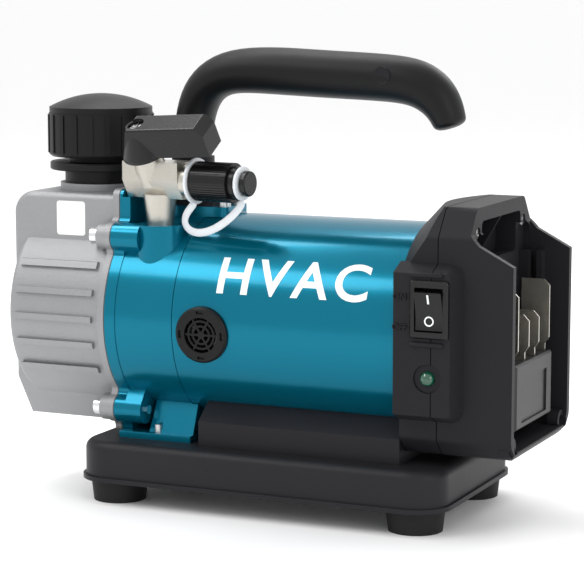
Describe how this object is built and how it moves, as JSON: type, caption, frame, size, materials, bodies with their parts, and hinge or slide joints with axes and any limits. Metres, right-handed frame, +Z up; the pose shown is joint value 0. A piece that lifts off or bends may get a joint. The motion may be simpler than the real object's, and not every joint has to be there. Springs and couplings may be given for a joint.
{
  "type": "hvac vacuum pump",
  "caption": "Portable battery-driven rotary vane vacuum pump with ribbed oil tank, motor tube, carry handle, inlet ball valve and base pan on rubber feet.",
  "frame": {"origin": "centre of the overall box, at floor level", "axes": "+X along the motor axis towards the battery end, -Y towards the switch side, +Z up"},
  "size_m": [0.288, 0.1224, 0.2389],
  "materials": {
    "pan_plastic": "fine grained moulded plastic",
    "foot_rubber": "matt moulded rubber",
    "zinc_steel": "bright zinc plated",
    "bolt_chrome": "polished",
    "riser_paint": "satin black",
    "teal_paint": "gloss metallic teal",
    "black_plastic": "satin moulded plastic",
    "grip_plastic": "soft satin",
    "cap_plastic": "fine grained moulded plastic",
    "cast_aluminium": "fine blasted casting",
    "gasket_fibre": "matt fibre sheet",
    "clear_glass": "clear",
    "plain_brass": "machined",
    "nickel_brass": "dull nickel plated",
    "switch_plastic": "semi gloss",
    "lamp_green": "tinted translucent",
    "terminal_metal": "tin plated strip",
    "board_laminate": "solder mask",
    "component_plastic": "moulded",
    "copper_wire": "enamelled copper",
    "lamination_steel": "stacked laminations",
    "magnet_plating": "nickel plated",
    "bearing_steel": "ground steel",
    "pump_iron": "ground iron",
    "vane_resin": "resin composite",
    "filter_felt": "felt",
    "strap_plastic": "translucent white",
    "seal_rubber": "matt"
  },
  "bodies": {
    "pump": {"base_pan": "pan_plastic", "rubber_feet": "foot_rubber", "foot_screws": "zinc_steel", "base_bolts": "zinc_steel", "motor_riser": "riser_paint", "motor_tube": "teal_paint", "vent_plug": "cap_plastic", "stator_core": "lamination_steel", "stator_windings": "copper_wire", "front_bearing": "bearing_steel", "rear_bearing": "bearing_steel", "front_end_shield": "cast_aluminium", "rear_end_shield": "cast_aluminium", "pump_bracket": "teal_paint", "tank_gasket": "gasket_fibre", "oil_tank": "cast_aluminium", "tank_bolts": "bolt_chrome", "sight_glass_ring": "bolt_chrome", "sight_glass": "clear_glass", "pump_end_plate": "pump_iron", "pump_cylinder": "pump_iron", "exhaust_reed": "bearing_steel", "pump_back_plate": "pump_iron", "shaft_seal": "seal_rubber", "exhaust_neck": "cap_plastic", "exhaust_filter": "filter_felt", "handle": "grip_plastic", "handle_post": "black_plastic", "handle_seat_screws": "zinc_steel", "rear_cover": "black_plastic", "battery_housing": "black_plastic", "switch_housing": "switch_plastic", "lamp_bezel": "black_plastic", "lamp_lens": "lamp_green", "terminal_block": "component_plastic", "battery_terminals": "terminal_metal", "controller_board": "board_laminate", "board_components": "component_plastic", "housing_screws": "zinc_steel", "inlet_fitting": "nickel_brass"},
    "rotor": {"motor_shaft": "bearing_steel", "rotor_core": "lamination_steel", "rotor_magnets": "magnet_plating", "cooling_fan": "black_plastic", "shaft_coupling": "bearing_steel", "pump_rotor": "pump_iron", "rotor_vanes": "vane_resin"},
    "rocker": {"switch_rocker": "switch_plastic"},
    "lever": {"valve_lever": "switch_plastic", "valve_stem": "nickel_brass", "stem_seal": "seal_rubber", "valve_ball": "nickel_brass", "lever_screw": "zinc_steel"},
    "strap": {"cap_strap": "strap_plastic"},
    "flare_cap": {"flare_cap": "switch_plastic", "flare_cap_seal": "seal_rubber"},
    "cap_ring": {"exhaust_cap_seal": "seal_rubber"},
    "exhaust_cap": {"exhaust_cap": "cap_plastic"},
    "drain_ring": {"drain_seal": "seal_rubber"},
    "drain_plug": {"drain_plug": "plain_brass"}
  },
  "joints": [
    {"name": "shaft_spin", "type": "hinge", "parent": "pump", "child": "rotor", "pos_m": [0, 0, 0.0966], "axis": [1, 0, 0], "continuous": true},
    {"name": "rocker_tilt", "type": "hinge", "parent": "pump", "child": "rocker", "pos_m": [0.1045, -0.055, 0.114], "axis": [1, 0, 0], "range_deg": [-18, 0]},
    {"name": "lever_turn", "type": "hinge", "parent": "pump", "child": "lever", "pos_m": [-0.05937, -0.03069, 0.17], "axis": [-0.0609, -0.4963, 0.866], "range_deg": [-90, 0]},
    {"name": "flare_cap_lift", "type": "slide", "parent": "pump", "child": "strap", "axis": [0.9925, -0.1219, 0], "range_m": [0, 0.00508]},
    {"name": "flare_cap_turn", "type": "hinge", "parent": "strap", "child": "flare_cap", "pos_m": [-0.056, -0.0311, 0.17], "axis": [0.9925, -0.1219, 0], "range_deg": [0, 1440.5]},
    {"name": "exhaust_cap_lift", "type": "slide", "parent": "pump", "child": "cap_ring", "axis": [0, 0, 1], "range_m": [0, 0.006]},
    {"name": "exhaust_cap_turn", "type": "hinge", "parent": "cap_ring", "child": "exhaust_cap", "pos_m": [-0.1082, 0, 0.18], "axis": [0, 0, 1], "range_deg": [0, 1440.5]},
    {"name": "drain_plug_lift", "type": "slide", "parent": "pump", "child": "drain_ring", "axis": [-1, 0, 0], "range_m": [0, 0.006]},
    {"name": "drain_plug_turn", "type": "hinge", "parent": "drain_ring", "child": "drain_plug", "pos_m": [-0.144, 0, 0.05], "axis": [-1, 0, 0], "range_deg": [0, 1440.5]}
  ],
  "couplings": [
    {"joint": "flare_cap_turn", "follows": "flare_cap_lift", "rad_per_m": 4947.4},
    {"joint": "exhaust_cap_turn", "follows": "exhaust_cap_lift", "rad_per_m": 4188.8},
    {"joint": "drain_plug_turn", "follows": "drain_plug_lift", "rad_per_m": 4188.8}
  ]
}
